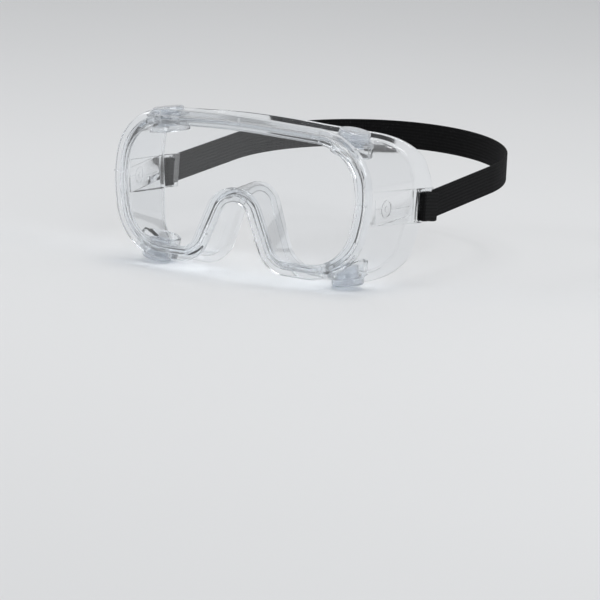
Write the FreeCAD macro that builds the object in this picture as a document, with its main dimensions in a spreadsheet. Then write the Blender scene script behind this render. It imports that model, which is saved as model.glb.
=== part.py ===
"""Chemical splash goggles: clear soft frame, snap-in lens, four capped vents and an elastic headband.

Frame of reference: +X is the wearer's left, -Y is the way the wearer looks, +Z is up. The origin is the
centre of the face opening, on the mirror plane. Millimetres.
"""
import FreeCAD, Part
import math
import os
from FreeCAD import Placement, Rotation, Vector

os.makedirs("parts", exist_ok=True)
doc = FreeCAD.newDocument("safety_goggles")

# ---------------------------------------------------------------- driving dimensions
SIZES = {
    # lens and rim: both follow an upright cylinder
    "front_y": -40,
    "lens_radius": 458,
    "lens_thickness": 2.0,
    "lens_clearance": 0.1,
    "lip_thickness": 1.5,
    "rim_depth": 5.2,
    "rim_band": 8.0,
    "groove_depth": 3.6,
    # rim outline: corner points of half of it, and the radius at each corner
    "rim_crown_x": 0,
    "rim_crown_z": 42.6,
    "rim_crown_radius": 400,
    "rim_brow_x": 75.9,
    "rim_brow_z": 38.6,
    "rim_brow_radius": 33,
    "rim_side_x": 80.6,
    "rim_side_z": -1.1,
    "rim_side_radius": 70,
    "rim_cheek_x": 72.0,
    "rim_cheek_z": -43.8,
    "rim_cheek_radius": 32.5,
    "rim_foot_x": 21.1,
    "rim_foot_z": -42.0,
    "rim_foot_radius": 18,
    "rim_bridge_x": 0,
    "rim_bridge_z": 8.7,
    "rim_bridge_radius": 9,
    # side walls: they start this far inside the rim's outline
    "wall_thickness": 1.8,
    "wall_inset": 4.3,
    "wall_length": 80,
    # where each corner of the walls has moved to at their far end, and its radius there
    "back_crown_out": 0,
    "back_crown_up": -1.4,
    "back_crown_radius": 395,
    "back_brow_out": 6.7,
    "back_brow_up": -8.0,
    "back_brow_radius": 11,
    "back_side_out": 6.5,
    "back_side_up": 6.5,
    "back_side_radius": 26,
    "back_cheek_out": 5.3,
    "back_cheek_up": -9.4,
    "back_cheek_radius": 20,
    "back_foot_out": -3.8,
    "back_foot_up": -13.5,
    "back_foot_radius": 21,
    "back_bridge_out": 0,
    "back_bridge_up": 9,
    "back_bridge_radius": 8,
    # face curve: an upright elliptic cylinder, and the seal flange that lies on it
    "face_y": -8,
    "face_half_width": 92,
    "face_depth": 62,
    "flange_thickness": 1.8,
    "flange_width": 4.2,
    # strap lugs: a slab along each side wall that ends in a tab with two slots
    "lug_height": 19,
    "lug_front_y": -30,
    "lug_front_x": 75.9,
    "lug_rear_y": 24,
    "lug_centre_z": -5.2,
    "lug_rise": 4,
    "lug_thickness": 2.2,
    "tab_x": 80.7,
    "tab_end_y": 40.5,
    "slot_height": 16.6,
    "slot_length": 2.6,
    "slot_drop": 0.4,
    "front_slot_y": 23.6,
    "rear_slot_y": 31.0,
    "recess_depth": 0.5,
    "recess_height": 14.6,
    "recess_front_y": -21,
    "recess_rear_y": 18,
    "window_front_y": 22.8,
    "window_height": 17.2,
    # elastic headband
    "strap_width": 16,
    "strap_thickness": 1.3,
    "strap_gap": 0.25,
    "strap_back_y": 111,
    "strap_pivot_y": 41.2,
    "strap_pivot_z": -5.5,
    "strap_tail_y": 41,
    "strap_rise": 3.9,
    # vents: each sits in a cup whose floor carries the vent's seat
    "vent_top_x": 58,
    "vent_top_y": -12,
    "vent_top_z": 33,
    "vent_bottom_x": 59.5,
    "vent_bottom_y": -14,
    "vent_bottom_z": -42.2,
    "vent_tilt": 9,
    "boss_radius": 11.4,
    "boss_height": 8.6,
    "boss_wall": 1.8,
    "boss_floor": 2,
    "spot_face_radius": 10.4,
    "spot_face_depth": 8,
    "vent_hole_radius": 6.6,
    "seat_flange_radius": 9.8,
    "seat_flange_thickness": 1.0,
    "seat_tube_radius": 6.5,
    "seat_tube_wall": 1.1,
    "seat_tube_length": 5.6,
    "seat_hub_radius": 2.6,
    "seat_spoke_width": 1.4,
    "cap_radius": 9.0,
    "cap_height": 3.5,
    "cap_wall": 1.1,
    "cap_air_gap": 0.7,
    "cap_edge_radius": 1.5,
    "peg_radius": 1.5,
    "peg_length": 3.4,
    "peg_clearance": 0.05,
}

sheet = doc.addObject("Spreadsheet::Sheet", "Sizes")
for row, (alias, value) in enumerate(SIZES.items(), start=1):
    sheet.set(f"A{row}", alias)
    sheet.set(f"B{row}", str(value))
    sheet.setAlias(f"B{row}", alias)
doc.recompute()


def size(name):
    return float(sheet.get(name))


REACH = 220  # longer than the goggles, for tools that cut or trim right through

# ---------------------------------------------------------------- helpers: document objects


def bind(obj, **formulas):
    """Tie properties of an object to cells of the sheet."""
    for prop, formula in formulas.items():
        obj.setExpression(prop, formula)
    return obj


def cylinder(name, radius, height, placement):
    obj = bind(doc.addObject("Part::Cylinder", name), Radius=radius, Height=height)
    obj.Placement = placement
    return obj


def box(name, length, width, height, placement):
    obj = bind(doc.addObject("Part::Box", name), Length=length, Width=width, Height=height)
    obj.Placement = placement
    return obj


def cut(name, base, tool):
    obj = doc.addObject("Part::Cut", name)
    obj.Base, obj.Tool = base, tool
    return obj


def common(name, base, tool):
    obj = doc.addObject("Part::Common", name)
    obj.Base, obj.Tool = base, tool
    return obj


def fuse(name, shapes):
    obj = doc.addObject("Part::MultiFuse", name)
    obj.Shapes = shapes
    return obj


def prism(name, profile, direction, length, symmetric=False):
    obj = doc.addObject("Part::Extrusion", name)
    obj.Base = profile
    obj.DirMode = "Custom"
    obj.Dir = direction
    obj.Solid = True
    obj.Symmetric = symmetric
    return bind(obj, LengthFwd=length)


def loft(name, front, back):
    obj = doc.addObject("Part::Loft", name)
    obj.Sections = [front, back]
    obj.Solid = True
    obj.Ruled = True
    return obj


# ---------------------------------------------------------------- helpers: rounded outlines


def corner_arc(before, corner, after, radius):
    """Tangent points and centre of the arc that rounds a corner of a polyline."""
    towards_before = (before - corner).normalize()
    towards_after = (after - corner).normalize()
    half_angle = towards_before.getAngle(towards_after) / 2
    reach = radius / math.tan(half_angle)
    bisector = (towards_before + towards_after).normalize()
    centre = corner + bisector * (radius / math.sin(half_angle))
    return corner + towards_before * reach, corner + towards_after * reach, centre


def arc_geometry(start, end, centre):
    """The short arc from start to end, as sketch geometry, which always runs anticlockwise."""
    if (start - centre).cross(end - centre).z < 0:
        start, end = end, start
    circle = Part.Circle(centre, Vector(0, 0, 1), (start - centre).Length)
    angles = [math.atan2(point.y - centre.y, point.x - centre.x) for point in (start, end)]
    return Part.ArcOfCircle(circle, *angles)


def rounded_loop(corners):
    """Lines and arcs of a closed outline, from its corners as (x, y, radius)."""
    points = [Vector(x, y, 0) for x, y, _ in corners]
    arcs = []
    for i, (_, _, radius) in enumerate(corners):
        arcs.append(corner_arc(points[i - 1], points[i], points[(i + 1) % len(points)], radius))
    geometry = []
    for i, (start, end, centre) in enumerate(arcs):
        geometry.append(Part.LineSegment(arcs[i - 1][1], start))
        geometry.append(arc_geometry(start, end, centre))
    return geometry


def ribbon_loop(path, thickness):
    """Closed outline of a ribbon seen edge on, from its centre line's corners as (x, y, radius)."""
    points = [Vector(x, y, 0) for x, y, _ in path]
    sides = []
    for side in (1, -1):
        edges = []
        last = points[0] + normal_of(points[0], points[1]) * (side * thickness / 2)
        for i in range(1, len(path) - 1):
            start, end, centre = corner_arc(points[i - 1], points[i], points[i + 1], path[i][2])
            shift_in = normal_of(points[i - 1], points[i]) * (side * thickness / 2)
            shift_out = normal_of(points[i], points[i + 1]) * (side * thickness / 2)
            edges.append(Part.LineSegment(last, start + shift_in))
            edges.append(arc_geometry(start + shift_in, end + shift_out, centre))
            last = end + shift_out
        finish = points[-1] + normal_of(points[-2], points[-1]) * (side * thickness / 2)
        edges.append(Part.LineSegment(last, finish))
        sides.append((edges, edges[0].StartPoint, finish))
    (left, left_start, left_end), (right, right_start, right_end) = sides
    return left + right + [Part.LineSegment(left_start, right_start), Part.LineSegment(left_end, right_end)]


def normal_of(start, end):
    along = (end - start).normalize()
    return Vector(-along.y, along.x, 0)


def sketch(name, geometry, placement):
    obj = doc.addObject("Sketcher::SketchObject", name)
    obj.addGeometry(geometry, False)
    obj.Placement = placement
    return obj


def upright(y):
    """Placement of a sketch whose plane faces the wearer's view, at this depth."""
    return Placement(Vector(0, y, 0), Rotation(Vector(1, 0, 0), 90))


def mirrored(half):
    """Whole outline from its right half, which starts and ends on the mirror plane."""
    return half + [(-x, z, radius) for x, z, radius in reversed(half[1:-1])]


def offset_outline(corners, distance):
    """Move every edge of an anticlockwise or clockwise outline outwards; corners keep their centres."""
    points = [Vector(x, z, 0) for x, z, _ in corners]
    count = len(points)
    area = sum(points[i - 1].cross(points[i]).z for i in range(count))
    outward = -1 if area > 0 else 1
    result = []
    for i, (_, _, radius) in enumerate(corners):
        before = normal_of(points[i - 1], points[i]) * (outward * distance)
        after_point = points[(i + 1) % count]
        after = normal_of(points[i], after_point) * (outward * distance)
        share = distance * distance / (distance * distance + before.dot(after))
        corner = points[i] + (before + after) * share
        turn = (points[i] - points[i - 1]).cross(after_point - points[i]).z
        bulges = (turn > 0) == (area > 0)
        result.append((corner.x, corner.y, radius + (distance if bulges else -distance)))
    return result


# ---------------------------------------------------------------- outlines of the frame


CORNERS = ("crown", "brow", "side", "cheek", "foot", "bridge")


def corner_sizes(prefix, *parts):
    """For each corner of half an outline, the sizes with these endings."""
    return [tuple(size(f"{prefix}_{corner}_{part}") for part in parts) for corner in CORNERS]


def back_outline(front):
    """Outline of the wall where the loft ends, behind the face curve."""
    moves = corner_sizes("back", "out", "up", "radius")
    return mirrored([(x + out, z + up, radius) for (x, z, _), (out, up, radius) in zip(front, moves)])


RIM = mirrored(corner_sizes("rim", "x", "z", "radius"))
WALL_FRONT = offset_outline(RIM, -size("wall_inset"))
WALL_BACK = back_outline(WALL_FRONT)


# ---------------------------------------------------------------- shared trimming tools

lens_axis = Vector(0, size("front_y") + size("lens_radius"), -REACH / 2)


def lens_drum(name, inset):
    """Solid inside the lens cylinder, this far behind the front surface."""
    placement = Placement(lens_axis, Rotation())
    return cylinder(name, f"Sizes.lens_radius - ({inset})", f"{REACH}", placement)


def face_drum(name, margin):
    """Solid inside the face curve, grown by a margin."""
    ellipse = doc.addObject("Part::Ellipse", f"{name}_curve")
    bind(ellipse, MajorRadius=f"Sizes.face_half_width + {margin}", MinorRadius=f"Sizes.face_depth + {margin}")
    ellipse.Placement = Placement(Vector(0, size("face_y") + size("face_depth"), -REACH / 2), Rotation())
    return prism(name, ellipse, Vector(0, 0, 1), f"{REACH}")


def outline_prism(name, outline):
    """The outline carried straight back through the whole frame."""
    placement = upright(size("front_y") - REACH / 4)
    return prism(name, sketch(f"{name}_sketch", rounded_loop(outline), placement), Vector(0, 1, 0), f"{REACH}")


def wall_loft(name, distance):
    """Tapering solid between the wall's front and back outlines, both offset by a distance."""
    sections = []
    for label, outline, y in (("front", WALL_FRONT, 0), ("back", WALL_BACK, size("wall_length"))):
        geometry = rounded_loop(offset_outline(outline, distance) if distance else outline)
        sections.append(sketch(f"{name}_{label}", geometry, upright(size("front_y") + y)))
    return loft(name, *sections)


# ---------------------------------------------------------------- frame moulding


def make_rim():
    """Band round the lens: two lips with a groove between them."""
    blank = common("rim_blank", outline_prism("rim_prism", RIM), lens_drum("rim_front_drum", "0"))
    blank = cut("rim_plate", blank, lens_drum("rim_back_drum", "Sizes.rim_depth"))
    window = outline_prism("window_prism", offset_outline(RIM, -size("rim_band")))
    ring = cut("rim_ring", blank, window)
    groove = common(
        "groove_plate",
        outline_prism("groove_prism", offset_outline(RIM, -size("groove_depth"))),
        lens_drum("groove_front_drum", "Sizes.lip_thickness"),
    )
    groove_end = "Sizes.lip_thickness + Sizes.lens_thickness + 2 * Sizes.lens_clearance"
    groove = cut("groove", groove, lens_drum("groove_back_drum", groove_end))
    return cut("rim", ring, groove)


def make_wall(outer, cavity, behind_rim, face):
    shell = common("wall_trimmed", cut("wall_shell", outer, cavity), behind_rim)
    return cut("wall", shell, face)


def make_flange(cavity, face):
    """Lip that turns outwards along the face curve."""
    plate = common("flange_plate", wall_loft("flange_loft", size("flange_width")),
                   face_drum("flange_drum", "Sizes.flange_thickness"))
    return cut("flange", cut("flange_open", plate, cavity), face)


def lug_placement():
    """Origin where the tab begins, Y backwards, Z up, leaning down towards the back."""
    return Placement(Vector(0, size("lug_rear_y"), size("lug_centre_z")),
                     Rotation(Vector(1, 0, 0), -size("lug_rise")))


def lug_x(y):
    """Middle of the slab's thickness at this depth: it slopes along the wall, then runs straight back."""
    before_tab = min(0, y - size("lug_rear_y"))
    slope = (size("tab_x") - size("lug_front_x")) / (size("lug_rear_y") - size("lug_front_y"))
    return size("tab_x") + slope * before_tab


def slot_placement():
    """The lug's own placement, lowered to the middle of its slots."""
    return lug_placement().multiply(Placement(Vector(0, 0, -size("slot_drop")), Rotation()))


def lug_strip(name, side, first_y, last_y, inner, outer, height, placement):
    """Solid along the slab, between two offsets from the middle of its thickness."""
    stops = [first_y, last_y]
    if first_y < size("lug_rear_y") < last_y:
        stops.insert(1, size("lug_rear_y"))
    plan = [(lug_x(y) + inner, y) for y in stops] + [(lug_x(y) + outer, y) for y in reversed(stops)]
    corners = [Vector(side * x, y - size("lug_rear_y"), 0) for x, y in plan]
    edges = [Part.LineSegment(corners[i - 1], corners[i]) for i in range(len(corners))]
    profile = sketch(f"{name}_plan", edges, placement)
    return prism(name, profile, placement.Rotation.multVec(Vector(0, 0, 1)), height, symmetric=True)


def make_lug_slab(label, side, half):
    return lug_strip(f"lug_slab_{label}", side, size("lug_front_y"), size("tab_end_y"), -half, half,
                     "Sizes.lug_height", lug_placement())


def make_lug_cuts(label, side, half):
    """Two strap slots, the room for the strap on both faces of the tab, and the slab's shallow recess."""
    room = 4 * size("strap_thickness")
    window = (side, size("window_front_y"), size("tab_end_y") + room)
    window_size = ("Sizes.window_height", slot_placement())
    cuts = [
        lug_strip(f"window_out_{label}", *window, half, half + room, *window_size),
        lug_strip(f"window_in_{label}", *window, -half - room, -half, *window_size),
        lug_strip(f"recess_{label}", side, size("recess_front_y"), size("recess_rear_y"),
                  half - size("recess_depth"), half + room, "Sizes.recess_height", lug_placement()),
    ]
    for place in ("front", "rear"):
        start = size(f"{place}_slot_y")
        cuts.append(lug_strip(f"{place}_slot_{label}", side, start, start + size("slot_length"),
                              -half - room, half + room, "Sizes.slot_height", slot_placement()))
    return cuts


def vent_placement(side, level):
    """Origin on top of the vent's boss, Z along the vent, out of the frame."""
    x, y, z = (size(f"vent_{level}_{letter}") for letter in "xyz")
    up = LEVELS[level]
    lean = Rotation(Vector(0, 1, 0), side * up * size("vent_tilt"))
    turn = Rotation() if up > 0 else Rotation(Vector(1, 0, 0), 180)
    return Placement(Vector(side * x, y, z), lean.multiply(turn))


def along(placement, distance):
    """The same placement, moved along its own Z."""
    return placement.multiply(Placement(Vector(0, 0, distance), Rotation()))


SIDES = {"left": 1, "right": -1}
LEVELS = {"top": 1, "bottom": -1}
VENTS = {f"{level}_{side}": vent_placement(SIDES[side], level) for level in LEVELS for side in SIDES}


def make_frame():
    cavity = wall_loft("cavity_loft", -size("wall_thickness"))
    outer = wall_loft("wall_loft", 0)
    face = face_drum("face_drum", "0")
    behind_rim = lens_drum("behind_rim_drum", "Sizes.rim_depth - 0.6")
    rim = make_rim()
    wall = make_wall(outer, cavity, behind_rim, face)
    flange = make_flange(cavity, face)
    pieces = [rim, wall, flange]
    cuts = []
    half = size("lug_thickness") / 2
    for label, side in SIDES.items():
        slab = cut(f"lug_outside_{label}", make_lug_slab(label, side, half), cavity)
        pieces.append(common(f"lug_{label}", slab, behind_rim))
        cuts += make_lug_cuts(label, side, half)
    for label, placement in VENTS.items():
        pieces.append(cylinder(f"boss_{label}", "Sizes.boss_radius", "Sizes.boss_height",
                               along(placement, -size("boss_height"))))
        cuts.append(cylinder(f"spot_face_{label}", "Sizes.spot_face_radius", "Sizes.spot_face_depth", placement))
        cuts.append(cylinder(f"boss_cup_{label}", "Sizes.boss_radius - Sizes.boss_wall",
                             "2 * Sizes.boss_height - Sizes.boss_floor", along(placement, -2 * size("boss_height"))))
        cuts.append(cylinder(f"vent_hole_{label}", "Sizes.vent_hole_radius", "2 * Sizes.boss_height",
                             along(placement, -size("boss_height"))))
    return cut("frame", fuse("frame_blank", pieces), fuse("frame_cuts", cuts))


# ---------------------------------------------------------------- lens


def make_lens():
    """Sheet bent to one curve, its edge in the rim's groove."""
    outline = offset_outline(RIM, -size("groove_depth") - size("lens_clearance"))
    front = "Sizes.lip_thickness + Sizes.lens_clearance"
    plate = common("lens_blank", outline_prism("lens_prism", outline), lens_drum("lens_front_drum", front))
    return cut("lens", plate, lens_drum("lens_back_drum", f"{front} + Sizes.lens_thickness"))


# ---------------------------------------------------------------- vents


def turned_body(name, profile, placement):
    """PartDesign body made by turning a closed profile of (radius, height) corners about Z."""
    body = doc.addObject("PartDesign::Body", name)
    plane = next(f for f in body.Origin.OriginFeatures if f.Role == "XZ_Plane")
    axis = next(f for f in body.Origin.OriginFeatures if f.Role == "Z_Axis")
    outline = body.newObject("Sketcher::SketchObject", f"{name}_profile")
    outline.AttachmentSupport = [(plane, "")]
    outline.MapMode = "FlatFace"
    corners = [Vector(radius, height, 0) for radius, height in profile]
    outline.addGeometry([Part.LineSegment(corners[i - 1], corners[i]) for i in range(len(corners))], False)
    turn = body.newObject("PartDesign::Revolution", f"{name}_turn")
    turn.Profile = outline
    turn.ReferenceAxis = (axis, [""])
    turn.Angle = 360
    body.Placement = placement
    return body


def make_vent_seat(label, placement):
    """Flanged sleeve in the frame's hole, with a hub on three spokes that takes the cap's peg."""
    name = f"vent_seat_{label}"
    tube = size("seat_tube_radius")
    bore = tube - size("seat_tube_wall")
    flange = size("seat_flange_thickness")
    sleeve = turned_body(f"{name}_sleeve", [
        (bore, -size("seat_tube_length")),
        (tube, -size("seat_tube_length")),
        (tube, 0),
        (size("seat_flange_radius"), 0),
        (size("seat_flange_radius"), flange),
        (bore, flange),
    ], placement)
    hub = cylinder(f"{name}_hub", "Sizes.seat_hub_radius", "Sizes.seat_flange_thickness", placement)
    spokes = []
    for number in range(3):
        turn = Placement(Vector(), Rotation(Vector(0, 0, 1), 120 * number))
        corner = Placement(Vector(0, -size("seat_spoke_width") / 2, 0), Rotation())
        spokes.append(box(f"{name}_spoke_{number + 1}", "Sizes.seat_tube_radius - Sizes.seat_tube_wall / 2",
                          "Sizes.seat_spoke_width", "Sizes.seat_flange_thickness",
                          placement.multiply(turn).multiply(corner)))
    blank = fuse(f"{name}_blank", [sleeve, hub] + spokes)
    bore_tool = cylinder(f"{name}_bore", "Sizes.peg_radius + Sizes.peg_clearance",
                         "8 * Sizes.seat_flange_thickness", along(placement, -4 * flange))
    return cut(name, blank, bore_tool)


def make_vent_cap(label, placement):
    """Domed cap that hangs over the seat, leaving an air gap all round, on a peg with a shoulder."""
    low = size("seat_flange_thickness") + size("cap_air_gap")
    top = low + size("cap_height")
    wall = size("cap_wall")
    edge = size("cap_edge_radius")
    shoulder = size("seat_flange_thickness")
    return turned_body(f"vent_cap_{label}", [
        (0, shoulder - size("peg_length")),
        (size("peg_radius"), shoulder - size("peg_length")),
        (size("peg_radius"), shoulder),
        (size("seat_hub_radius"), shoulder),
        (size("seat_hub_radius"), top - wall),
        (size("cap_radius") - wall, top - wall),
        (size("cap_radius") - wall, low),
        (size("cap_radius"), low),
        (size("cap_radius"), top - edge),
        (size("cap_radius") - edge, top),
        (0, top),
    ], placement)


# ---------------------------------------------------------------- elastic headband


def layer_x(number):
    """Centre of a strap layer: 1 and 2 lie outside the tab, -1 lies inside it."""
    outside = 1 if number > 0 else -1
    pitch = size("strap_thickness") + size("strap_gap")
    clear_of_tab = size("lug_thickness") / 2 + size("strap_gap") + size("strap_thickness") / 2
    return size("tab_x") + outside * (clear_of_tab + (abs(number) - 1) * pitch)


def strap_prism(name, path, placement):
    profile = sketch(f"{name}_plan", ribbon_loop(path, size("strap_thickness")), placement)
    normal = placement.Rotation.multVec(Vector(0, 0, 1))
    return prism(name, profile, normal, "Sizes.strap_width", symmetric=True)


def make_strap_end(label, side):
    """Threaded end: in through the rear slot, round the middle bar, out, and back along the outside."""
    fold = size("strap_thickness") / 2 + 0.05
    rear_y = size("rear_slot_y") + size("slot_length") / 2 - size("lug_rear_y")
    front_y = size("front_slot_y") + size("slot_length") / 2 - size("lug_rear_y")
    start_x = layer_x(1) + size("strap_thickness") / 2
    path = [
        (side * start_x, rear_y, 0),
        (side * layer_x(-1), rear_y, fold),
        (side * layer_x(-1), front_y, fold),
        (side * layer_x(2), front_y, fold),
        (side * layer_x(2), size("strap_tail_y") - size("lug_rear_y"), 0),
    ]
    return strap_prism(f"strap_end_{label}", path, slot_placement())


def make_strap_band():
    """The band behind the tabs, round the back of the head, with a round end at each pivot."""
    lean = Rotation(Vector(1, 0, 0), size("strap_rise"))
    placement = Placement(Vector(0, size("strap_pivot_y"), size("strap_pivot_z")), lean)
    x = layer_x(1)
    back = size("strap_back_y") - size("strap_pivot_y") + x
    path = [(x, 0, 0), (x, back, x - 0.01), (-x, back, x - 0.01), (-x, 0, 0)]
    band = strap_prism("strap_run", path, placement)
    ends = []
    for label, side in SIDES.items():
        start = Vector(side * x - size("strap_thickness") / 2, 0, 0)
        disc = placement.multiply(Placement(start, Rotation(Vector(0, 1, 0), 90)))
        ends.append(cylinder(f"strap_pivot_{label}", "Sizes.strap_width / 2", "Sizes.strap_thickness", disc))
    return fuse("strap_band", [band] + ends)


# ---------------------------------------------------------------- build, check and write

nodes = {"frame": make_frame(), "lens": make_lens(), "strap_band": make_strap_band()}
for label, side in SIDES.items():
    nodes[f"strap_end_{label}"] = make_strap_end(label, side)
for label, placement in VENTS.items():
    nodes[f"vent_seat_{label}"] = make_vent_seat(label, placement)
    nodes[f"vent_cap_{label}"] = make_vent_cap(label, placement)

doc.recompute()
for obj in doc.Objects:
    if "Invalid" in obj.State or "Error" in obj.State:
        raise RuntimeError(f"{obj.Name} failed: {obj.State}")
for name, obj in nodes.items():
    obj.Label = name
    shape = obj.Shape
    if shape.isNull() or not shape.isValid() or len(shape.Solids) != 1:
        raise RuntimeError(f"{name}: null {shape.isNull()}, solids {len(shape.Solids)}")
    shape.exportStep(f"parts/{name}.step")
    print(f"{name}: {shape.Volume:.0f} mm3, {shape.BoundBox}")
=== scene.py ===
"""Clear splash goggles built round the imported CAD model: frame, lens, capped vents and elastic headband.

Shapes are worked out in millimetres in the CAD frame (+X the wearer's left, -Y forwards, +Z up) and
scaled to metres when a mesh is made.
"""
import math

import bmesh
import bpy
import numpy as np
from mathutils import Matrix, Vector
from mathutils.geometry import delaunay_2d_cdt


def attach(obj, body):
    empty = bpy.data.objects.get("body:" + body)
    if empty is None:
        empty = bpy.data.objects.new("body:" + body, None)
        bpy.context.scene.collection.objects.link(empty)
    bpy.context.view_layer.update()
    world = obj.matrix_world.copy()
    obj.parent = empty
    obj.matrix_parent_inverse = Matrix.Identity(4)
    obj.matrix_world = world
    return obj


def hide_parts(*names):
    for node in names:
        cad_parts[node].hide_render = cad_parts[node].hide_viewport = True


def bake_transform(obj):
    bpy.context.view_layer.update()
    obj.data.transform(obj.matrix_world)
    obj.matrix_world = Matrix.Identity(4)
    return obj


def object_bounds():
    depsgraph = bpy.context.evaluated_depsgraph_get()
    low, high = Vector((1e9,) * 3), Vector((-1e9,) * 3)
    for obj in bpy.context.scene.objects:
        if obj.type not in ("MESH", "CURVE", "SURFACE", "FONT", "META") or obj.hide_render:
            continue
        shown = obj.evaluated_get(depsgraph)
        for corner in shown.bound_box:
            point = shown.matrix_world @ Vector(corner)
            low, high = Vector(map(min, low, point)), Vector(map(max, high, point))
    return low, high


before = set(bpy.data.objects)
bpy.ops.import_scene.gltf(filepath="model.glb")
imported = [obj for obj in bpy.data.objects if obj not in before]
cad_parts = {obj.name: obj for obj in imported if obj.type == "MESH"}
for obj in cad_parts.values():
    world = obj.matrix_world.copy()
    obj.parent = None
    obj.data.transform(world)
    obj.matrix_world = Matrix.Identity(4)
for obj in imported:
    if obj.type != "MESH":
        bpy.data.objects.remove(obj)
cad_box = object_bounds()

MM = 0.001

# ---------------------------------------------------------------- dimensions, in millimetres

FRONT_Y = -40.0
LENS_RADIUS = 458.0
LIP = 1.5
LENS_THICKNESS = 2.0
LENS_CLEARANCE = 0.1
RIM_DEPTH = 5.2
RIM_SLOPE = 1.4  # how far the outer edge of the band lies behind its inner edge
RIM_BAND = 8.0
GROOVE_DEPTH = 3.6
LENS_EDGE = GROOVE_DEPTH + LENS_CLEARANCE

# corners of half the rim's outline, seen from the front: x, z, radius
CROWN = (0.0, 42.6, 400.0)
BROW = (75.9, 38.6, 33.0)
SIDE = (80.6, -1.1, 70.0)
CHEEK = (72.0, -43.8, 32.5)
FOOT = (21.1, -42.0, 18.0)
BRIDGE = (0.0, 8.7, 9.0)
HALF_RIM = [CROWN, BROW, SIDE, CHEEK, FOOT, BRIDGE]
# how far out and up each corner has moved where the side walls end, and its radius there
WALL_MOVES = [(0, -1.4, 395), (6.7, -8.0, 11), (6.5, 6.5, 26), (5.3, -9.4, 20), (-3.8, -13.5, 21), (0, 9, 8)]
WALL_THICKNESS = 1.8
WALL_INSET = 4.3
WALL_LENGTH = 80.0

FACE_HALF_WIDTH = 92.0
FACE_DEPTH = 62.0
FACE_CENTRE_Y = 54.0
FLANGE_THICKNESS = 1.8
FLANGE_WIDTH = 4.2

LUG_HALF_HEIGHT = 9.5
LUG_FRONT = (75.9, -23.0)
LUG_END_Y = 21.5  # the slab ends inside the tab
LUG_SOFT_EDGE = 0.7
LUG_SINK = 0.1  # how far under the wall's skin the slab starts
TAB_X = 80.7
TAB_START_Y = 24.0
TAB_END_Y = 40.5
LUG_CENTRE_Z = -5.2
LUG_RISE = math.radians(4.0)
LUG_HALF_THICKNESS = 1.1
LUG_RAMP = 4.0
WALL_SIDE_X = 62.0  # the wall lies beside the lug from this half width on
RECESS_Y = (-19.5, 18.0)
RECESS_HALF_HEIGHT = 7.3
RECESS_DEPTH = 0.5
LUG_MARK_Y = -8.0
PARTING_LINES = [(-17.5, 7.0), (9.0, 16.0)]  # y of the middle, length
SLOT_HEIGHT = 16.6
SLOT_LENGTH = 2.6
SLOT_DROP = 0.4
SLOT_Y = (23.6, 31.0)
WINDOW_Y = 22.8
WINDOW_HEIGHT = 17.2

VENT_PLACES = {"top": (58.0, -12.0, 33.0), "bottom": (59.5, -14.0, -42.2)}
VENT_TILT = math.radians(9.0)
BOSS_RADIUS = 11.4
BOSS_HEIGHT = 8.6
BOSS_FLOOR = 2.0
CUP_RADIUS = 9.6
CUP_MOUTH_RADIUS = 10.2
SPOT_FACE_RADIUS = 10.4
SPOT_FACE_DEPTH = 8.0
VENT_HOLE_RADIUS = 6.6
SEAT_BORE_RADIUS = 5.4
SEAT_TUBE_RADIUS = 6.5
SEAT_TUBE_LENGTH = 5.6
SEAT_FLANGE_RADIUS = 9.8
SEAT_FLANGE_THICKNESS = 1.0
SEAT_HUB_RADIUS = 2.6
PEG_RADIUS = 1.5
PEG_BORE_RADIUS = 1.55
CAP_RADIUS = 9.0

STRAP_WIDTH = 16.0
STRAP_THICKNESS = 1.3
STRAP_GAP = 0.25
STRAP_BACK_Y = 111.0
STRAP_PIVOT_Y = 41.2
STRAP_PIVOT_Z = -5.5
STRAP_TAIL_Y = 40.6
STRAP_RISE = math.radians(3.9)
THREADED_LENGTH = 29.0
TAIL_LENGTH = 15.0
TAIL_SAG = 0.7
FOLD_PITCH = 8.6

SIDES = {"left": 1, "right": -1}
LEVELS = {"top": 1, "bottom": -1}

# ---------------------------------------------------------------- outlines and paths


def unit(v):
    return v / np.linalg.norm(v)


def left_of(direction):
    """Normal on the left of a direction of travel, which is outwards on a clockwise outline."""
    return np.array([-direction[1], direction[0]])


class RoundedCorner:
    """The arc that rounds one corner of a path, with the outward normal along it."""

    def __init__(self, before, corner, after, radius):
        back, ahead = unit(before - corner), unit(after - corner)
        half = math.acos(max(-1.0, min(1.0, float(back @ ahead)))) / 2
        self.start = corner + back * (radius / math.tan(half))
        self.end = corner + ahead * (radius / math.tan(half))
        self.centre = corner + unit(back + ahead) * (radius / math.sin(half))
        self.radius = radius
        first, last = self.start - self.centre, self.end - self.centre
        self.first = math.atan2(first[1], first[0])
        turn = math.atan2(last[1], last[0]) - self.first
        self.turn = (turn + math.pi) % (2 * math.pi) - math.pi
        self.outward = 1 if self.turn < 0 else -1  # a clockwise corner bulges outwards

    def at(self, t):
        angle = self.first + self.turn * t
        spoke = np.array([math.cos(angle), math.sin(angle)])
        return self.centre + spoke * self.radius, spoke * self.outward


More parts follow.
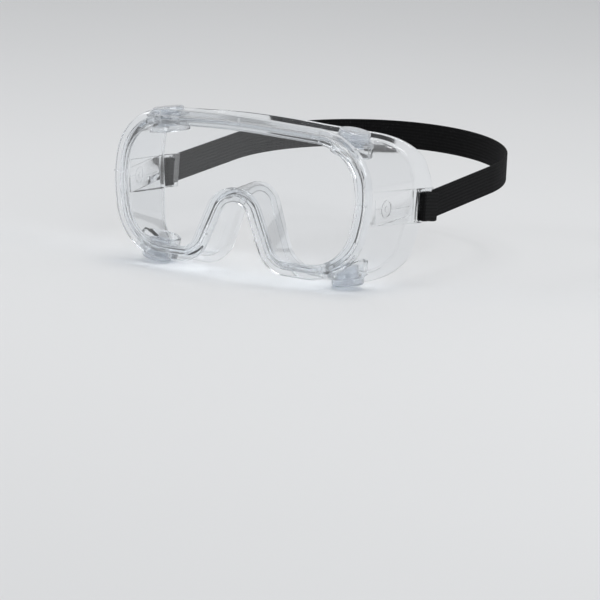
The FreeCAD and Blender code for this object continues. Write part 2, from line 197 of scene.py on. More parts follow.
def rounded_path(corners, closed=False, steps=None, arc_step=16):
    """Points and left-hand normals of a path of lines and arcs.

    steps gives the step count of each arc and of the line after it.
    """
    points = [np.array(c[:2], float) for c in corners]
    count = len(points)
    inner = range(count) if closed else range(1, count - 1)
    arcs = {i: RoundedCorner(points[i - 1], points[i], points[(i + 1) % count], corners[i][2]) for i in inner}
    out = []
    if not closed:
        out.append((points[0], left_of(unit(points[1] - points[0]))))
    for i in inner:
        arc = arcs[i]
        if steps:
            arc_steps, line_steps = steps[i]
        else:
            arc_steps, line_steps = max(3, math.ceil(abs(arc.turn) / math.radians(arc_step))), 1
        out += [arc.at(j / arc_steps) for j in range(arc_steps + 1)]
        if closed:
            target = arcs[(i + 1) % count].start
            normal = left_of(unit(target - arc.end))
            out += [(arc.end + (target - arc.end) * j / line_steps, normal) for j in range(1, line_steps)]
    if not closed:
        out.append((points[-1], left_of(unit(points[-1] - points[-2]))))
    return np.array([p for p, _ in out]), np.array([n for _, n in out])


def mirrored(half):
    return half + [(-x, z, radius) for x, z, radius in reversed(half[1:-1])]


def offset_corners(corners, distance):
    """The corners of a clockwise outline moved outwards, with radii that keep each arc's centre."""
    points = [np.array(c[:2], float) for c in corners]
    result = []
    for i, (_, _, radius) in enumerate(corners):
        ahead = points[(i + 1) % len(points)] - points[i]
        behind = points[i] - points[i - 1]
        n0, n1 = left_of(unit(behind)), left_of(unit(ahead))
        x, z = points[i] + (n0 + n1) * distance / (1 + n0 @ n1)
        bulges = behind[0] * ahead[1] - behind[1] * ahead[0] < 0
        result.append((x, z, radius + (distance if bulges else -distance)))
    return result


def outline_steps(half_steps):
    """Step counts round a whole mirrored outline, from (arc, next line) counts of its right half."""
    left = []
    for i in range(len(half_steps) - 2, 0, -1):
        left.append((half_steps[i][0], half_steps[i - 1][1]))
    right = list(half_steps[:-1])
    bridge = (half_steps[-1][0], half_steps[-2][1])
    return right + [bridge] + left


# (steps round the corner, steps along the line after it)
HALF_STEPS = [(24, 22), (36, 8), (20, 14), (40, 12), (24, 26), (26, 0)]
STEPS = outline_steps(HALF_STEPS)
RIM = mirrored(HALF_RIM)
WALL_FRONT = offset_corners(RIM, -WALL_INSET)
half_back = [(x + out, z + up, radius) for (x, z, _), (out, up, radius) in zip(WALL_FRONT, WALL_MOVES)]
WALL_BACK = mirrored(half_back)
rim_points, rim_normals = rounded_path(RIM, closed=True, steps=STEPS)
front_points, front_normals = rounded_path(WALL_FRONT, closed=True, steps=STEPS)
back_points, back_normals = rounded_path(WALL_BACK, closed=True, steps=STEPS)
STATIONS = len(rim_points)


def smoothstep(t):
    t = np.clip(t, 0, 1)
    return t * t * (3 - 2 * t)


# ---------------------------------------------------------------- surfaces of the frame


def lens_y(x, depth):
    """Depth in the CAD frame of the surface this far behind the front of the rim."""
    return FRONT_Y + LENS_RADIUS - np.sqrt((LENS_RADIUS - depth) ** 2 - x**2)


def face_y(x, margin):
    """The face curve, grown forwards by a margin."""
    share = x / (FACE_HALF_WIDTH + margin)
    return FACE_CENTRE_Y - (FACE_DEPTH + margin) * np.sqrt(1 - share**2)


def rim_row(offset, depth):
    """Ring of points at an offset from the rim's outline and a depth behind its front."""
    flat = rim_points + rim_normals * offset
    return np.column_stack([flat[:, 0], lens_y(flat[:, 0], depth), flat[:, 1]])


def wall_flat(y, offset):
    """Where the tapering wall is at depth y, as x and z, offset outwards."""
    share = ((y - FRONT_Y) / WALL_LENGTH)[:, None]
    offset = np.broadcast_to(offset, y.shape)[:, None]
    front = front_points + front_normals * offset
    back = back_points + back_normals * offset
    return front * (1 - share) + back * share


def lug_centre(y):
    return LUG_CENTRE_Z - math.tan(LUG_RISE) * (y - TAB_START_Y)


def lug_face(y):
    """Outer face of the lug at depth y: it slopes along the wall, then runs straight back."""
    slope = (TAB_X - LUG_FRONT[0]) / (TAB_START_Y - LUG_FRONT[1])
    return TAB_X + slope * np.minimum(0, y - TAB_START_Y) + LUG_HALF_THICKNESS


def wall_row(y, offset):
    flat = wall_flat(y, offset)
    return np.column_stack([flat[:, 0], y, flat[:, 1]])


def wall_x(y, z):
    """Half width of the wall's outer face at depth y, beside the lug, for heights z."""
    ring = wall_flat(np.full(STATIONS, float(y)), 0.0)
    beside = ring[ring[:, 0] > WALL_SIDE_X]
    beside = beside[np.argsort(beside[:, 1])]
    return np.interp(z, beside[:, 1], beside[:, 0])


def flange_row(offset, margin):
    """Ring at an offset from the wall, on the face curve grown by a margin."""
    y = np.full(STATIONS, 10.0)
    for _ in range(12):
        flat = wall_flat(y, offset)
        y = face_y(flat[:, 0], margin)
    return np.column_stack([flat[:, 0], y, flat[:, 1]])


def frame_rows():
    """Rings of the moulding's skin, once round its section."""
    rim_section, _ = rounded_path([
        (-WALL_INSET, RIM_DEPTH + 2.0),
        (-WALL_INSET, RIM_DEPTH, 0.8),
        (0.0, RIM_DEPTH, 0.9),
        (0.0, RIM_SLOPE, 0.8),
        (-3.6, 0.6, 12.0),
        (-RIM_BAND, 0.0, 0.5),
        (-RIM_BAND, LIP, 0.3),
        (-GROOVE_DEPTH, LIP, 0.25),
        (-GROOVE_DEPTH, RIM_DEPTH - LIP, 0.25),
        (-RIM_BAND, RIM_DEPTH - LIP, 0.3),
        (-RIM_BAND, RIM_DEPTH, 0.6),
        (-WALL_INSET - WALL_THICKNESS, RIM_DEPTH, 0.6),
        (-WALL_INSET - WALL_THICKNESS, RIM_DEPTH + 2.0),
    ])
    rows = [rim_row(offset, depth) for offset, depth in rim_section]
    wall_inner_start = rows[-1][:, 1]
    wall_outer_start = rows[0][:, 1]

    flange_section, _ = rounded_path([
        (-WALL_THICKNESS, 2.4),
        (-WALL_THICKNESS, 0.0, 0.6),
        (FLANGE_WIDTH, 0.0, 0.7),
        (FLANGE_WIDTH, FLANGE_THICKNESS, 0.7),
        (0.0, FLANGE_THICKNESS, 1.3),
        (0.0, FLANGE_THICKNESS + 2.2),
    ])
    flange = [flange_row(offset, margin) for offset, margin in flange_section]

    inner_end = flange[0][:, 1]
    for share in np.linspace(0, 1, 20)[1:-1]:
        rows.append(wall_row(wall_inner_start * (1 - share) + inner_end * share, -WALL_THICKNESS))
    rows += flange
    outer_end = flange[-1][:, 1]
    for share in np.linspace(1, 0, 24)[1:-1]:
        rows.append(wall_row(wall_outer_start * (1 - share) + outer_end * share, 0.0))
    return rows


# ---------------------------------------------------------------- mesh helpers


def new_object(name, vertices, faces):
    mesh = bpy.data.meshes.new(name)
    mesh.from_pydata([Vector(v) * MM for v in vertices], [], faces)
    mesh.validate()
    obj = bpy.data.objects.new(name, mesh)
    bpy.context.scene.collection.objects.link(obj)
    return obj


def face_outwards(obj):
    bm = bmesh.new()
    bm.from_mesh(obj.data)
    bmesh.ops.recalc_face_normals(bm, faces=bm.faces)
    if bm.calc_volume(signed=True) < 0:
        bmesh.ops.reverse_faces(bm, faces=bm.faces)
    bm.to_mesh(obj.data)
    bm.free()
    return obj


def finish_piece(obj, nodes, material):
    """Put a piece on the mask in place of CAD nodes, in one material."""
    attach(obj, "mask")
    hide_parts(*nodes)
    dress(obj, material)


def dress(obj, material):
    obj.data.materials.clear()
    obj.data.materials.append(material)


def smooth(obj, angle=35):
    obj.data.shade_smooth()
    obj.data.set_sharp_from_angle(angle=math.radians(angle))
    return obj


def tube_mesh(name, rows):
    """Skin through rings of equal length; each ring is closed, and the last joins the first."""
    count = len(rows[0])
    vertices = np.concatenate(rows)
    faces = []
    for i in range(len(rows)):
        a, b = i * count, (i + 1) % len(rows) * count
        for j in range(count):
            k = (j + 1) % count
            faces.append((a + j, a + k, b + k, b + j))
    return face_outwards(new_object(name, vertices, faces))


def lathe(name, corners, matrix, steps=72):
    """Turned body from a closed (radius, height, corner radius) profile. Corners on the axis close it."""
    on_axis = corners[0][0] == 0
    profile, _ = rounded_path(corners, closed=not on_axis)
    rings = []
    for radius, height in profile:
        angles = np.linspace(0, 2 * math.pi, steps, endpoint=False)
        rings.append([matrix @ Vector((radius * math.cos(a), radius * math.sin(a), height)) for a in angles])
    vertices, faces = [], []
    if on_axis:
        tips = [matrix @ Vector((0, 0, profile[0][1])), matrix @ Vector((0, 0, profile[-1][1]))]
        rings = rings[1:-1]
    for ring in rings:
        vertices += ring
    count = len(rings)
    for i in range(count if not on_axis else count - 1):
        a, b = i * steps, (i + 1) % count * steps
        faces += [(a + j, a + (j + 1) % steps, b + (j + 1) % steps, b + j) for j in range(steps)]
    if on_axis:
        first, last = len(vertices), len(vertices) + 1
        vertices += tips
        end = (count - 1) * steps
        faces += [(first, (j + 1) % steps, j) for j in range(steps)]
        faces += [(last, end + j, end + (j + 1) % steps) for j in range(steps)]
    return face_outwards(new_object(name, vertices, faces))


def rounded_box(name, lengths, radius, matrix, segments=3):
    """Box centred on the matrix's origin, with rounded edges."""
    bm = bmesh.new()
    bmesh.ops.create_cube(bm, size=1)
    bmesh.ops.scale(bm, vec=lengths, verts=bm.verts)
    bmesh.ops.bevel(bm, geom=bm.edges, offset=radius, segments=segments, profile=0.5, affect="EDGES")
    bmesh.ops.transform(bm, matrix=matrix, verts=bm.verts)
    bmesh.ops.scale(bm, vec=(MM, MM, MM), verts=bm.verts)
    mesh = bpy.data.meshes.new(name)
    bm.to_mesh(mesh)
    bm.free()
    obj = bpy.data.objects.new(name, mesh)
    bpy.context.scene.collection.objects.link(obj)
    return obj


def boolean(obj, tool, operation):
    """Apply one boolean and drop the tool."""
    modifier = obj.modifiers.new("boolean", "BOOLEAN")
    modifier.operation = operation
    modifier.solver = "MANIFOLD"
    modifier.object = tool
    depsgraph = bpy.context.evaluated_depsgraph_get()
    mesh = bpy.data.meshes.new_from_object(obj.evaluated_get(depsgraph))
    obj.modifiers.clear()
    old = obj.data
    obj.data = mesh
    bpy.data.meshes.remove(old)
    bpy.data.objects.remove(tool)
    return obj


# ---------------------------------------------------------------- frame moulding


def vent_matrix(side, level):
    """Origin on top of the vent's boss, Z along the vent, out of the frame."""
    x, y, z = VENT_PLACES[level]
    up = LEVELS[level]
    lean = Matrix.Rotation(side * up * VENT_TILT, 4, "Y")
    turn = Matrix.Identity(4) if up > 0 else Matrix.Rotation(math.pi, 4, "X")
    return Matrix.Translation((side * x, y, z)) @ lean @ turn


def tab_matrix(side, x, y, z=0.0):
    """Place in the strap tab's own frame, which leans down towards the back."""
    lean = Matrix.Rotation(-LUG_RISE, 4, "X")
    return Matrix.Translation((side * x, TAB_START_Y, LUG_CENTRE_Z)) @ lean @ Matrix.Translation(
        (0, y - TAB_START_Y, z))


def add_lug(body, side):
    """Raised slab along the side wall, sunk into it, with soft edges and a shallow recess."""
    front = LUG_FRONT[1]
    edge_steps = np.array([0, 0.1, 0.3, 0.7])
    depths = np.concatenate([front + edge_steps, np.linspace(front + 2, LUG_END_Y, 24)])
    across = np.concatenate([
        edge_steps - LUG_HALF_HEIGHT, np.linspace(-8, 8, 17), (LUG_HALF_HEIGHT - edge_steps)[::-1]])
    outer, inner = [], []
    for y in depths:
        heights = lug_centre(y) + across
        ramp = smoothstep((y - front) / LUG_RAMP)
        for h, z, skin in zip(across, heights, wall_x(y, heights)):
            edge = min(LUG_HALF_HEIGHT - abs(h), LUG_SOFT_EDGE)
            rounding = LUG_SOFT_EDGE - math.sqrt(LUG_SOFT_EDGE**2 - (LUG_SOFT_EDGE - edge) ** 2)
            proud = (lug_face(y) - skin + LUG_SINK) * ramp
            outer.append((side * (skin - LUG_SINK + proud - rounding), y, z))
            inner.append((side * (skin - WALL_THICKNESS / 2), y, z))
    rows, columns = len(depths), len(across)
    count = rows * columns
    faces = []
    for i in range(rows - 1):
        for j in range(columns - 1):
            a, b = i * columns + j, (i + 1) * columns + j
            faces += [(a, a + 1, b + 1, b), (count + a, count + b, count + b + 1, count + a + 1)]
    border = list(range(columns)) + [i * columns + columns - 1 for i in range(1, rows)]
    border += [(rows - 1) * columns + j for j in range(columns - 2, -1, -1)]
    border += [i * columns for i in range(rows - 2, 0, -1)]
    for a, b in zip(border, border[1:] + border[:1]):
        faces.append((a, b, count + b, count + a))
    boolean(body, face_outwards(new_object("lug", outer + inner, faces)), "UNION")
    room = 4.0
    lean = Matrix.Rotation(side * LUG_RISE, 4, "Z")
    place = lug_matrix(side, sum(RECESS_Y) / 2, 0.0) @ lean @ Matrix.Translation((0, 0, room / 2))
    size = (RECESS_Y[1] - RECESS_Y[0], 2 * RECESS_HALF_HEIGHT, room)
    boolean(body, rounded_box("recess", size, 0.3, place, segments=2), "DIFFERENCE")


def add_tab(body, side):
    """Tab behind the lug with two slots, and a window through the flange for the strap's folds."""
    window_length = 24.0
    window = rounded_box("window", (12.6, window_length, WINDOW_HEIGHT), 0.5,
                         tab_matrix(side, TAB_X, WINDOW_Y + window_length / 2, -SLOT_DROP))
    boolean(body, window, "DIFFERENCE")
    start = TAB_START_Y - 4.0
    length = TAB_END_Y - start
    tab = rounded_box("tab", (2 * LUG_HALF_THICKNESS, length, 2 * LUG_HALF_HEIGHT), 0.6,
                      tab_matrix(side, TAB_X, start + length / 2))
    for slot_y in SLOT_Y:
        slot = rounded_box("slot", (12.0, SLOT_LENGTH, SLOT_HEIGHT), 0.5,
                           tab_matrix(side, TAB_X, slot_y + SLOT_LENGTH / 2, -SLOT_DROP))
        boolean(tab, slot, "DIFFERENCE")
    boolean(body, tab, "UNION")


def add_vent_boss(body, matrix):
    """Cup through the wall, whose floor carries the vent."""
    boss = [(0, -BOSS_HEIGHT), (BOSS_RADIUS, -BOSS_HEIGHT, 0.6), (BOSS_RADIUS, 0, 0.4), (0, 0)]
    boolean(body, lathe("boss", boss, matrix), "UNION")
    cup = [
        (0, -2 * BOSS_HEIGHT),
        (CUP_MOUTH_RADIUS, -2 * BOSS_HEIGHT, 0.3),
        (CUP_MOUTH_RADIUS, -8.5, 0.2),
        (CUP_RADIUS, -7.9, 0.4),
        (CUP_RADIUS, -BOSS_FLOOR, 0.5),
        (0, -BOSS_FLOOR),
    ]
    spot_face = [(0, 0), (SPOT_FACE_RADIUS, 0, 0.3), (SPOT_FACE_RADIUS, SPOT_FACE_DEPTH, 0.3),
                 (0, SPOT_FACE_DEPTH)]
    hole = [(0, -8), (VENT_HOLE_RADIUS, -8, 0.3), (VENT_HOLE_RADIUS, 8, 0.3), (0, 8)]
    for name, profile in (("cup", cup), ("spot_face", spot_face), ("hole", hole)):
        boolean(body, lathe(name, profile, matrix), "DIFFERENCE")


def lug_matrix(side, y, z):
    """Place on the floor of the lug's recess, z above its middle: Z out of it, X backwards."""
    slope = math.atan((TAB_X - LUG_FRONT[0]) / (TAB_START_Y - LUG_FRONT[1]))
    x = lug_face(y) - RECESS_DEPTH
    out = Vector((side * math.cos(slope), -math.sin(slope), 0))
    back = Vector((side * math.sin(slope), math.cos(slope), 0))
    matrix = Matrix((back, out.cross(back), out)).transposed().to_4x4()
    return Matrix.Translation((side * x, y, lug_centre(y) + z)) @ matrix


def add_lug_marks(body, side):
    """Round ejector mark with a pip, and the parting line along the middle of the lug."""
    place = lug_matrix(side, LUG_MARK_Y, -0.5)
    ring = [(4.2, -0.5, 0.1), (4.2, 0.3, 0.15), (5.0, 0.3, 0.15), (5.0, -0.5, 0.1)]
    boolean(body, lathe("ring", ring, place), "UNION")
    pip = [(0, -0.5), (1.7, -0.5, 0.1), (1.7, 0.2, 0.15), (0, 0.25)]
    boolean(body, lathe("pip", pip, place, steps=32), "UNION")
    for y, length in PARTING_LINES:
        line = rounded_box("parting", (length, 0.35, 0.6), 0.1, lug_matrix(side, y, -0.3), segments=1)
        boolean(body, line, "UNION")


# ribs across the band, as x and z of their middles on the front, and the round marks beside some
RIBS = [(-49.6, 36.2), (1.4, 38.4), (50.0, 36.1), (-75.1, 2.2), (75.1, 1.7), (55.6, -38.6), (-54.2, -38.4),
        (-16.2, -23.9), (16.2, -23.9)]
MARKS = [(-51.8, 35.6), (-4.4, 38.3), (47.1, 36.4), (52.5, -38.7)]


def band_place(x, z, depth):
    """Matrix on the middle of the band nearest to this place: X along the band, Y out of it, Z across it."""
    middle = rim_points - rim_normals * RIM_BAND / 2
    nearest = int(np.argmin(np.hypot(middle[:, 0] - x, middle[:, 1] - z)))
    across = Vector((rim_normals[nearest][0], 0, rim_normals[nearest][1]))
    x, z = middle[nearest]
    lean = x / LENS_RADIUS
    out = Vector((math.sin(lean), -math.cos(lean), 0))
    across = (across - out * across.dot(out)).normalized()
    along = out.cross(across)
    place = Vector((x, lens_y(x, depth), z))
    matrix = Matrix((along, out, across)).transposed().to_4x4()
    return Matrix.Translation(place) @ matrix


def add_rib(body, x, z):
    rib = rounded_box("rib", (0.9, 1.0, RIM_BAND - 0.9), 0.3, band_place(x, z, 0.15), segments=2)
    boolean(body, rib, "UNION")


def add_mark(body, x, z):
    turn = Matrix.Rotation(-math.pi / 2, 4, "X")
    mark = lathe("mark", [(1.1, -0.5, 0.1), (1.1, 0.22, 0.12), (1.5, 0.22, 0.12), (1.5, -0.5, 0.1)],
                 band_place(x, z, 0.05) @ turn.inverted(), steps=32)
    boolean(body, mark, "UNION")


def make_frame():
    body = tube_mesh("frame_moulding", frame_rows())
    for side in SIDES.values():
        add_lug(body, side)
        add_tab(body, side)
        add_lug_marks(body, side)
        for level in LEVELS:
            add_vent_boss(body, vent_matrix(side, level))
    for x, z in RIBS:
        add_rib(body, x, z)
    for x, z in MARKS:
        add_mark(body, x, z)
    smooth(body)
    finish_piece(body, ["frame"], clear_pvc())


# ---------------------------------------------------------------- lens


def lens_face(depth, offset, spacing=3.0):
    """Points and triangles that fill the lens outline, lifted onto its curve.

    The outline's points come first.
    """
    ring = rim_points - rim_normals * offset
    xs = np.arange(-78, 78.1, spacing)
    zs = np.arange(-45, 45.1, spacing)
    grid = np.array([(x, z) for x in xs for z in zs])
    keep = []
    for x, z in grid:
        gap = ring - (x, z)
        nearest = int(np.argmin((gap**2).sum(1)))
        inside = gap[nearest] @ rim_normals[nearest]
        if inside > spacing * 0.6:
            keep.append((x, z))
    points = [Vector(p) for p in ring] + [Vector(p) for p in keep]
    edges = [(i, (i + 1) % STATIONS) for i in range(STATIONS)]
    flat, _, faces, *_ = delaunay_2d_cdt(points, edges, [], 1, 1e-5)
    flat = np.array([tuple(p) for p in flat])
    return np.column_stack([flat[:, 0], lens_y(flat[:, 0], depth), flat[:, 1]]), faces


def make_lens():
    edge = 0.35
    front_depth = LIP + LENS_CLEARANCE
    back_depth = front_depth + LENS_THICKNESS
    front, front_faces = lens_face(front_depth, LENS_EDGE + edge)
    back, back_faces = lens_face(back_depth, LENS_EDGE + edge)
    section, _ = rounded_path([
        (-LENS_EDGE - edge, front_depth),
        (-LENS_EDGE, front_depth, edge * 0.9),
        (-LENS_EDGE, back_depth, edge * 0.9),
        (-LENS_EDGE - edge, back_depth),
    ])
    rows = [rim_row(offset, depth) for offset, depth in section[1:-1]]
    vertices = [tuple(p) for p in front] + [tuple(p) for p in back]
    faces = [tuple(f) for f in front_faces]
    faces += [tuple(len(front) + i for i in f) for f in back_faces]
    starts = [0]
    for row in rows:
        starts.append(len(vertices))
        vertices += [tuple(p) for p in row]
    starts.append(len(front))
    for a, b in zip(starts, starts[1:]):
        faces += [(a + j, a + (j + 1) % STATIONS, b + (j + 1) % STATIONS, b + j) for j in range(STATIONS)]
    lens = smooth(face_outwards(new_object("lens_sheet", vertices, faces)), angle=50)
    finish_piece(lens, ["lens"], clear_lens())


# ---------------------------------------------------------------- vents


def make_vent_seat(label, matrix):
    """Flanged sleeve in the frame's hole, with a hub on three spokes."""
    seat = lathe(f"vent_sleeve_{label}", [
        (SEAT_BORE_RADIUS, -SEAT_TUBE_LENGTH, 0.3),
        (SEAT_TUBE_RADIUS, -SEAT_TUBE_LENGTH, 0.3),
        (SEAT_TUBE_RADIUS, 0.0, 0.15),
        (SEAT_FLANGE_RADIUS, 0.0, 0.3),
        (SEAT_FLANGE_RADIUS, SEAT_FLANGE_THICKNESS, 0.35),
        (SEAT_BORE_RADIUS, SEAT_FLANGE_THICKNESS, 0.3),
    ][::-1], matrix, steps=96)
    for number in range(3):
        turn = Matrix.Rotation(math.radians(120 * number), 4, "Z")
        spoke = rounded_box("spoke", (5.0, 1.4, 0.96), 0.2,
                            matrix @ turn @ Matrix.Translation((3.4, 0, 0.5)), segments=2)
        boolean(seat, spoke, "UNION")
    hub = lathe("hub", [
        (PEG_BORE_RADIUS, SEAT_FLANGE_THICKNESS, 0.1),
        (SEAT_HUB_RADIUS, SEAT_FLANGE_THICKNESS, 0.2),
        (SEAT_HUB_RADIUS, 0.0, 0.2),
        (PEG_BORE_RADIUS, 0.0, 0.1),
    ], matrix, steps=48)
    bore = lathe("bore", [
        (0, -4),
        (PEG_BORE_RADIUS, -4, 0.1),
        (PEG_BORE_RADIUS, 6, 0.1),
        (0, 6),
    ], matrix, steps=48)
    boolean(seat, bore, "DIFFERENCE")
    boolean(seat, hub, "UNION")
    smooth(seat)
    finish_piece(seat, [f"vent_seat_{label}"], vent_plastic())


def make_vent_cap(label, matrix):
    """Turned cap with a soft edge, over the seat on a peg."""
    cap = lathe(f"vent_lid_{label}", [
        (0, -2.4),
        (PEG_RADIUS, -2.4, 0.35),
        (PEG_RADIUS, SEAT_FLANGE_THICKNESS, 0.05),
        (SEAT_HUB_RADIUS, SEAT_FLANGE_THICKNESS, 0.15),
        (SEAT_HUB_RADIUS, 4.1, 0.5),
        (7.7, 4.1, 0.7),
        (7.9, 1.7, 0.25),
        (CAP_RADIUS, 1.7, 0.3),
        (8.7, 5.0, 1.4),
        (0, 5.2),
    ], matrix, steps=96)
    smooth(cap)
    finish_piece(cap, [f"vent_cap_{label}"], vent_plastic())


# ---------------------------------------------------------------- headband


def layer_x(number):
    """Centre of a strap layer: 1 and 2 lie outside the tab, -1 lies inside it."""
    outside = 1 if number > 0 else -1
    pitch = STRAP_THICKNESS + STRAP_GAP
    clear_of_tab = LUG_HALF_THICKNESS + STRAP_GAP + STRAP_THICKNESS / 2
    return TAB_X + outside * (clear_of_tab + (abs(number) - 1) * pitch)


def strap_height(y):
    """Height of the strap's centre line: along the tab, then turning up towards the back of the head."""
    far = STRAP_PIVOT_Z + math.tan(STRAP_RISE) * (y - STRAP_PIVOT_Y)
    near = lug_centre(y) - SLOT_DROP
    knee = 0.5
    return (near + far + math.sqrt((far - near) ** 2 + knee * knee)) / 2


def tail_height(y, from_end):
    """The same for the stretch in the slots, whose loose end sags outside the main band."""
    sag = TAIL_SAG * (1 - smoothstep(from_end / TAIL_LENGTH))
    return lug_centre(y) - SLOT_DROP - sag


def strap_plan():
    """Centre line of the whole strap seen from above, from the left tail round the head to the right tail."""
    rear = SLOT_Y[1] + SLOT_LENGTH / 2
    front = SLOT_Y[0] + SLOT_LENGTH / 2
    inside, main, tail = layer_x(-1), layer_x(1), layer_x(2)
    back = STRAP_BACK_Y + main
    half = [
        (tail, STRAP_TAIL_Y, 0),
        (tail, front, 1.5),
        (inside, front, 1.2),
        (inside, rear, 1.2),
        (main, rear, 1.1),
        (main, back, main - 0.01),
    ]
    corners = half + [(-x, y, radius) for x, y, radius in reversed(half)]
    points, _ = rounded_path(corners, arc_step=2)
    return points


def resample(points, spacing):
    """Evenly spaced points along a polyline, and the distance of each from its start."""
    lengths = np.linalg.norm(np.diff(points, axis=0), axis=1)
    distance = np.concatenate([[0], np.cumsum(lengths)])
    count = max(2, math.ceil(distance[-1] / spacing))
    at = np.linspace(0, distance[-1], count + 1)
    return np.column_stack([np.interp(at, distance, points[:, i]) for i in range(2)]), at


def make_strap():
    plan, along = resample(strap_plan(), 0.45)
    from_ends = np.minimum(along, along[-1] - along)
    centre = np.array([(x, y, strap_height(y) if d > THREADED_LENGTH else tail_height(y, d))
                       for (x, y), d in zip(plan, from_ends)])
    tangent = np.gradient(centre, axis=0)
    tangent /= np.linalg.norm(tangent, axis=1)[:, None]
    flat = tangent[:, :2] / np.linalg.norm(tangent[:, :2], axis=1)[:, None]
    outward = np.column_stack([-flat[:, 1], flat[:, 0], np.zeros(len(flat))])
    across = np.cross(tangent, outward)
    across *= np.sign(across[:, 2])[:, None]
    half_width, half_thick = STRAP_WIDTH / 2, STRAP_THICKNESS / 2
    section, _ = rounded_path([
        (-half_thick, -half_width, 0.55), (-half_thick, half_width, 0.55),
        (half_thick, half_width, 0.55), (half_thick, -half_width, 0.55),
    ], closed=True, steps=[(4, 16), (4, 1), (4, 16), (4, 1)])
    count = len(section)
    vertices, faces = [], []
    for i, (c, o, a) in enumerate(zip(centre, outward, across)):
        from_end = from_ends[i]
        threaded = 1 - smoothstep((from_end - 32) / 8)
        fold = abs(math.sin(math.pi * from_end / FOLD_PITCH))
        pucker = 1 + threaded * (0.03 * fold - 0.03)
        for thick, wide in section:
            vertices.append(c + o * thick + a * wide * pucker)
    rows = len(centre)
    for i in range(rows - 1):
        a, b = i * count, (i + 1) * count
        faces += [(a + j, a + (j + 1) % count, b + (j + 1) % count, b + j) for j in range(count)]
    faces += [tuple(range(count)), tuple((rows - 1) * count + j for j in reversed(range(count)))]
    strap = face_outwards(new_object("elastic_headband", vertices, faces))
    uv = strap.data.uv_layers.new(name="weave")
    girth = np.concatenate([[0], np.cumsum(np.linalg.norm(np.diff(section, axis=0), axis=1))])
    for loop in strap.data.loops:
        row, place = divmod(loop.vertex_index, count)
        uv.data[loop.index].uv = (along[row] * MM, girth[place] * MM)
    smooth(strap, 60)
    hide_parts("strap_band", "strap_end_left", "strap_end_right")
    dress(strap, woven_elastic())
    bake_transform(strap)


# ---------------------------------------------------------------- materials

MATERIALS = {}


class Nodes:
    """Short names for building a node material."""

    def __init__(self, name):
        self.material = bpy.data.materials.new(name)
        self.material.use_nodes = True
        self.tree = self.material.node_tree
        self.tree.nodes.clear()
        self.out = self.add("ShaderNodeOutputMaterial")

    def add(self, kind, **values):
        node = self.tree.nodes.new(kind)
        for key, value in values.items():
            if key in node.inputs:
                node.inputs[key].default_value = value
            else:
                setattr(node, key, value)
        return node

    def link(self, source, target):
        self.tree.links.new(source, target)

    def principled(self, **values):
        node = self.add("ShaderNodeBsdfPrincipled")
        for key, value in values.items():
            node.inputs[key.replace("_", " ")].default_value = value
        return node

    def noise(self, scale, detail=2.0):
        where = self.add("ShaderNodeTexCoord")
        node = self.add("ShaderNodeTexNoise", Scale=scale, Detail=detail)
        self.link(where.outputs["Object"], node.inputs["Vector"])
        return node.outputs["Fac"]

    def spread(self, value, low, high):
        node = self.add("ShaderNodeMapRange")
        node.inputs["To Min"].default_value = low
        node.inputs["To Max"].default_value = high
        self.link(value, node.inputs["Value"])
        return node.outputs["Result"]

    def bump(self, height, distance):
        node = self.add("ShaderNodeBump", Distance=distance, Strength=1.0)
        self.link(height, node.inputs["Height"])
        return node.outputs["Normal"]


def clear(name, shader, nodes, shadow, absorption, density):
    """Finish a clear plastic: lamps shine through it, and its depth tints it."""
    through = nodes.add("ShaderNodeBsdfTransparent")
    through.inputs["Color"].default_value = (*shadow, 1)
    mix = nodes.add("ShaderNodeMixShader")
    path = nodes.add("ShaderNodeLightPath")
    nodes.link(path.outputs["Is Shadow Ray"], mix.inputs["Fac"])
    nodes.link(shader.outputs[0], mix.inputs[1])
    nodes.link(through.outputs[0], mix.inputs[2])
    nodes.link(mix.outputs[0], nodes.out.inputs["Surface"])
    if density:
        volume = nodes.add("ShaderNodeVolumeAbsorption")
        volume.inputs["Color"].default_value = (*absorption, 1)
        volume.inputs["Density"].default_value = density
        nodes.link(volume.outputs[0], nodes.out.inputs["Volume"])
    MATERIALS[name] = nodes.material
    return nodes.material


def clear_pvc():
    """Soft clear PVC: faint cool tint, slightly uneven surface, handling haze in patches.

    The index is set below real PVC's 1.53, and the lens's and vents' below theirs, to calm the refraction.
    """
    if "clear_pvc" in MATERIALS:
        return MATERIALS["clear_pvc"]
    nodes = Nodes("clear_pvc")
    shader = nodes.principled(Base_Color=(0.97, 0.98, 0.99, 1), IOR=1.22, Transmission_Weight=1.0,
                              Coat_Weight=1.0, Coat_Roughness=0.04, Coat_IOR=1.5)
    haze = nodes.noise(60, 3)
    nodes.link(nodes.spread(haze, 0.02, 0.08), shader.inputs["Roughness"])
    nodes.link(nodes.bump(nodes.noise(70, 2), 0.00005), shader.inputs["Normal"])
    return clear("clear_pvc", shader, nodes, (0.90, 0.91, 0.92), (0.78, 0.82, 0.86), 26.0)


def clear_lens():
    """Hard clear polycarbonate, with a trace of waviness and fine wear."""
    if "clear_lens" in MATERIALS:
        return MATERIALS["clear_lens"]
    nodes = Nodes("clear_lens")
    shader = nodes.principled(Base_Color=(0.98, 0.985, 0.99, 1), IOR=1.2, Transmission_Weight=1.0,
                              Coat_Weight=1.0, Coat_Roughness=0.02, Coat_IOR=1.5)
    nodes.link(nodes.spread(nodes.noise(40, 4), 0.0, 0.03), shader.inputs["Roughness"])
    nodes.link(nodes.bump(nodes.noise(25, 1), 0.00003), shader.inputs["Normal"])
    return clear("clear_lens", shader, nodes, (0.94, 0.95, 0.96), (0.78, 0.82, 0.86), 24.0)


